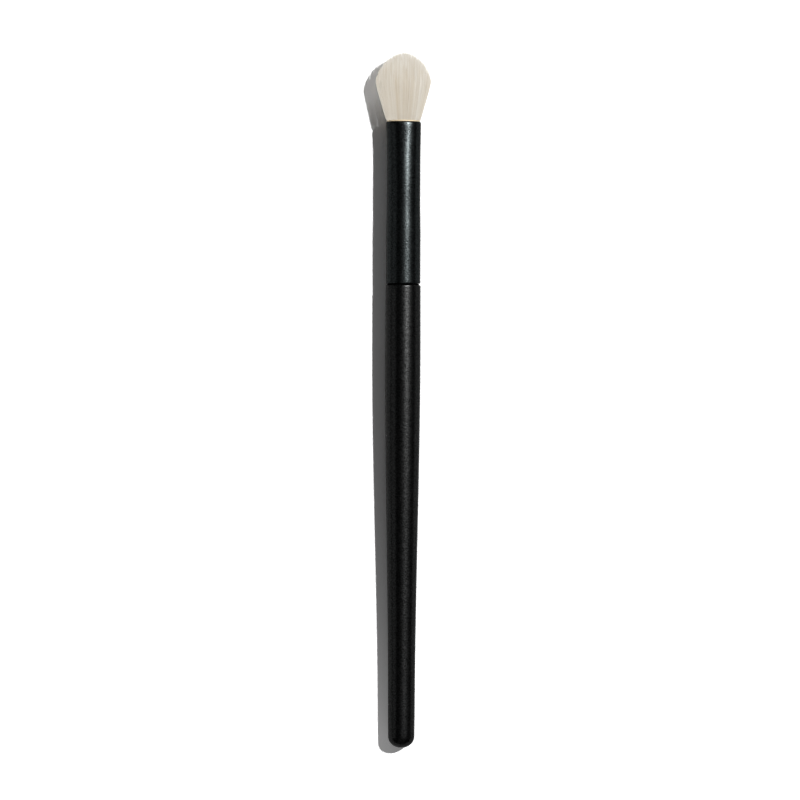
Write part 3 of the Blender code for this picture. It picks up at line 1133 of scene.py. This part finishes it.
    def half_sides(
        self, tree: ShapeTree, across: Field, up: Field, height: Field, flare: Field
    ) -> list[Field]:
        """Measures the tuft at a height, in the direction from its middle to a hair.

        Args:
            tree: The tree to write in.
            across: How far the direction goes across.
            up: How far it goes up.
            height: The height above the mouth.
            flare: How far the tuft has flared at that height, from 0 to 1.

        Returns:
            Half the width and half the thickness, drawn out to its squarish outline there.
        """
        spring_height = tree.size("Spring Height", self.spring_height)
        fading = math.e ** (tree.sum("MAXIMUM", height, 0.0) / spring_height * -1)
        spring = tree.size("Spring", self.spring) * (1 - fading)
        squareness = tree.size("Mouth Squareness", self.mouth_squareness)
        belly_squareness = tree.size("Belly Squareness", self.belly_squareness)
        squareness = squareness + (belly_squareness - squareness) * flare
        powers = [tree.sum("ABSOLUTE", part) ** squareness for part in (across, up)]
        lift = (powers[0] + powers[1]) ** (-1 / squareness)
        sides = []
        for name, at_mouth, at_belly in (
            ("Width", self.mouth_half_width, self.belly_half_width),
            ("Thickness", self.mouth_half_thickness, self.belly_half_thickness),
        ):
            low = tree.size(f"Mouth Half {name}", at_mouth)
            high = tree.size(f"Belly Half {name}", at_belly)
            sides.append((low + spring + (high - low - spring) * flare) * lift)
        return sides

    def drawn(self, tree: ShapeTree, stage: Field) -> tuple[Socket, Field]:
        """Draws each hair out over the dome.

        Args:
            tree: The tree to write in.
            stage: The stage of each point of a hair.

        Returns:
            The place of each point in the brush's frame, and its height above the mouth.
        """
        across, up, distance = self.gathered(tree, stage)
        belly = tree.size("Belly Height", self.belly_height)
        length = tree.size("Tuft Length", self.length)
        height = self.raised(tree, stage, belly, length)
        flare = tree.share(height, 0.0, belly)
        eased_flare = tree.share(height, 0.0, belly, "SMOOTHSTEP")
        flare = (1 - self.easing_share) * flare + self.easing_share * eased_flare
        divisor = tree.sum("MAXIMUM", distance, self.least_distance)
        sides = self.half_sides(tree, across / divisor, up / divisor, height, flare)
        into_dome = tree.share(height, belly, length)
        thinning = tree.size("Dome Thinning", self.dome_thinning) * into_dome
        upright = tree.size("Upright Share", self.upright_share) * into_dome
        lean_start = tree.size("Lean Start", self.lean_start)
        lean = tree.share(height, lean_start, tree.size("Lean End", self.lean_end)) - upright
        place = tree.point(
            across * sides[0] + lean * tree.size("Lean", self.lean),
            tree.size("Mouth Place", self.mouth) + height,
            up * sides[1] * (1 - thinning) - tree.size("Belly Sag", self.belly_sag) * flare,
        )
        return place, height

    def build_layer(
        self, axis: BrushAxis, layer: HairLayer, material: bpy.types.Material
    ) -> bpy.types.Object:
        """Grows one layer of hairs and lays it down.

        Args:
            axis: The line down the middle of the brush.
            layer: The layer.
            material: The hair's material.

        Returns:
            The piece.
        """
        tree = ShapeTree(layer.name)
        line = tree.add("GeometryNodeMeshToCurve", {"Mesh": tree.start.outputs[0]}).outputs[0]
        inputs = {"Points": self.rooted(tree, layer), "Instance": line}
        hairs = tree.add("GeometryNodeInstanceOnPoints", inputs).outputs[0]
        hairs = tree.add("GeometryNodeRealizeInstances", {"Geometry": hairs}).outputs[0]
        hairs = tree.store(hairs, "stage", tree.position()[1])
        stage = Field(tree, tree.stored("stage"))
        place, height = self.drawn(tree, stage)
        hairs = tree.store(hairs, HEIGHT, tree.share(height, 0.0, self.length))
        inputs = {"Geometry": hairs, "Position": place}
        hairs = tree.add("GeometryNodeSetPosition", inputs).outputs[0]
        taper = 1 - (1 - self.point_share) * tree.share(stage, self.point_start, 2.0)
        radius = tree.size("Hair Radius", self.hair_radius) * taper
        inputs = {"Resolution": self.hair_sides, "Radius": 1.0}
        profile = tree.add("GeometryNodeCurvePrimitiveCircle", inputs).outputs[0]
        inputs = {"Curve": hairs, "Profile Curve": profile, "Scale": radius, "Fill Caps": True}
        hairs = tree.add("GeometryNodeCurveToMesh", inputs).outputs[0]
        mesh = tree.become(layer.name, self.hair_line(), hairs, material)
        for spare in ("seat", "lock", "reach", "kept", "stage"):
            mesh.attributes.remove(mesh.attributes[spare])
        axis.lie(mesh)
        return add_piece(mesh, Slot.NATURAL_HAIR, "hair_tuft")

    def build(self, axis: BrushAxis) -> list[bpy.types.Object]:
        """Grows the tuft.

        Args:
            axis: The line down the middle of the brush.

        Returns:
            Its layers, the short hairs first.
        """
        material = SoftHair().material()
        layers = (self.short_layer, *self.long_layers)
        return [self.build_layer(axis, layer, material) for layer in layers]


class InnerParts:
    """The pieces inside the ferrule, which keep their CAD solids."""

    FINISHES = {
        "root_plug": (RESIN, Slot.RESIN),
        "root_binding": (THREAD, Slot.THREAD),
        "tenon_glue_1": (GLUE, Slot.WOOD_GLUE),
        "tenon_glue_2": (GLUE, Slot.WOOD_GLUE),
        "tenon_glue_3": (GLUE, Slot.WOOD_GLUE),
    }

    def dress(self) -> None:
        """Gives each piece its finish."""
        made: dict[str, bpy.types.Material] = {}
        for node, (finish, slot) in self.FINISHES.items():
            if finish.name not in made:
                made[finish.name] = finish.material()
            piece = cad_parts[node]
            piece.data.materials.clear()
            piece.data.materials.append(made[finish.name])


@dataclass(frozen=True)
class SoftPanel:
    """A panel of light that faces the brush, and that gloss may show without being lit by it."""

    name: str
    place: Place
    wide: float
    deep: float
    radiance: float
    lights: bool = True
    gleams: bool = True

    def hang(self) -> bpy.types.Object:
        """Hangs the panel.

        Returns:
            The light.
        """
        lamp = bpy.data.lights.new(self.name, "AREA")
        lamp.shape = "RECTANGLE"
        lamp.size = self.wide
        lamp.size_y = self.deep
        lamp.energy = self.radiance * math.pi * self.wide * self.deep
        panel = placed(self.name, lamp)
        panel.location = self.place
        panel.rotation_euler = Vector(self.place).to_track_quat("Z", "Y").to_euler()
        panel.visible_camera = False
        panel.visible_diffuse = self.lights
        panel.visible_glossy = self.gleams
        return panel


def linked(name: str, pieces: Pieces, state: str = "INCLUDE") -> bpy.types.Collection:
    """Collects the pieces that a light includes or excludes.

    Args:
        name: The name of the collection.
        pieces: The pieces.
        state: INCLUDE or EXCLUDE.

    Returns:
        The collection.
    """
    collection = bpy.data.collections.new(name)
    for piece in pieces:
        collection.objects.link(piece)
    for entry in collection.collection_objects:
        entry.light_linking.link_state = state
    return collection


@dataclass(frozen=True)
class Studio:
    """The light round the brush, and the camera above it.

    Fine hair lets light through and scatters it, so the tuft doesn't block a large share of the
    key light that falls on it and on the bare brass by its root. Its long hairs don't block a
    small share of what lights the rest.
    The black coat shows a wide panel in the key light's place, which lights nothing.
    """

    key_place: Place = (0.90, 0.56, 1.56)
    key_side: float = 0.06
    key_radiance: float = 4300.0
    share_through_to_hair: float = 0.75
    share_through_to_rest: float = 0.135
    streak_panel: SoftPanel = SoftPanel(
        "streak_panel", (0.72, 0.62, 1.5), 0.6, 0.5, 160.0, lights=False
    )
    panels: tuple[SoftPanel, ...] = (
        SoftPanel("far_end_panel", (0.0, 0.9, 0.8), 1.2, 1.2, 0.2),
        SoftPanel("near_end_panel", (0.0, -0.9, 0.8), 1.2, 1.2, 0.2),
        SoftPanel("left_panel", (-1.1, 0.0, 0.51), 0.7, 0.7, 0.9, lights=False),
    )
    background: float = 1.0
    dim_room: float = 0.047
    lens: float = 165.83
    camera_place: Place = (-0.00066, 0.00007, 0.9045)
    camera_roll: float = 0.0043

    def hang_key(self, lit: Pieces, sieve: Pieces, share: float, gleams: bool) -> None:
        """Hangs the key light of some pieces in two parts.

        Args:
            lit: The pieces that it lights.
            sieve: The layers of hair that don't block one of its parts.
            share: The share of the light in that part.
            gleams: Whether the pieces' gloss shows it.
        """
        for name, part, passed in (("key", 1 - share, ()), ("sifted_key", share, sieve)):
            side, radiance = self.key_side, self.key_radiance * part
            light = SoftPanel(name, self.key_place, side, side, radiance, gleams=gleams).hang()
            light.light_linking.receiver_collection = linked(f"{name}_lit", lit)
            light.light_linking.blocker_collection = linked(f"{name}_passed", passed, "EXCLUDE")

    def light(self, hair: Pieces, coated: Pieces, tube: bpy.types.Object) -> None:
        """Hangs the panels and the key light.

        Args:
            hair: The layers of the tuft, the short hairs first.
            coated: The pieces with the black coat.
            tube: The brass tube, whose bare edge lies by the tuft's root.
        """
        for panel in self.panels:
            panel.hang()
        streak = self.streak_panel.hang()
        streak.light_linking.receiver_collection = linked("streak_lit", coated)
        meshes = [thing for thing in bpy.context.scene.objects if thing.type == "MESH"]
        rest = [mesh for mesh in meshes if mesh not in (*hair, *coated, tube)]
        self.hang_key([*hair, tube], hair, self.share_through_to_hair, True)
        self.hang_key(coated, hair[1:], self.share_through_to_rest, False)
        self.hang_key(rest, hair[1:], self.share_through_to_rest, True)

    def surround(self) -> None:
        """Makes the room a plain white background that lights the brush only a little."""
        world = bpy.data.worlds.new("plain_room")
        world.use_nodes = True
        bpy.context.scene.world = world
        writer = NodeWriter(world.node_tree)
        path = writer.add("ShaderNodeLightPath")
        seen = writer.sum(
            "MAXIMUM", path.outputs["Is Camera Ray"], path.outputs["Is Transmission Ray"]
        )
        strength = self.dim_room + (self.background - self.dim_room) * seen
        shader = world.node_tree.nodes["Background"]
        writer.feed(shader.inputs["Color"], (1, 1, 1, 1))
        writer.feed(shader.inputs["Strength"], strength)

    def look(self) -> None:
        """Puts the camera straight above the brush."""
        lens = bpy.data.cameras.new("camera")
        lens.lens = self.lens
        camera = placed("camera", lens)
        camera.location = self.camera_place
        camera.rotation_euler = (0, 0, self.camera_roll)
        bpy.context.scene.camera = camera


def main() -> None:
    """Builds and dresses the brush, and sets up its floor, light and camera."""
    logging.basicConfig(level=logging.INFO, format="%(message)s")
    axis = BrushAxis.of_frame()
    handle = Handle().build(axis)
    tube, film = Ferrule().build(axis)
    hair = HairTuft().build(axis)
    InnerParts().dress()
    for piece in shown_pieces():
        LOG.info("%s: %d faces", piece.name, len(piece.data.polygons))
    PaperFloor().lay()
    studio = Studio()
    studio.light(hair, (handle, film), tube)
    studio.surround()
    studio.look()
    bpy.context.scene.view_settings.view_transform = "Standard"


if __name__ == "__main__":
    main()
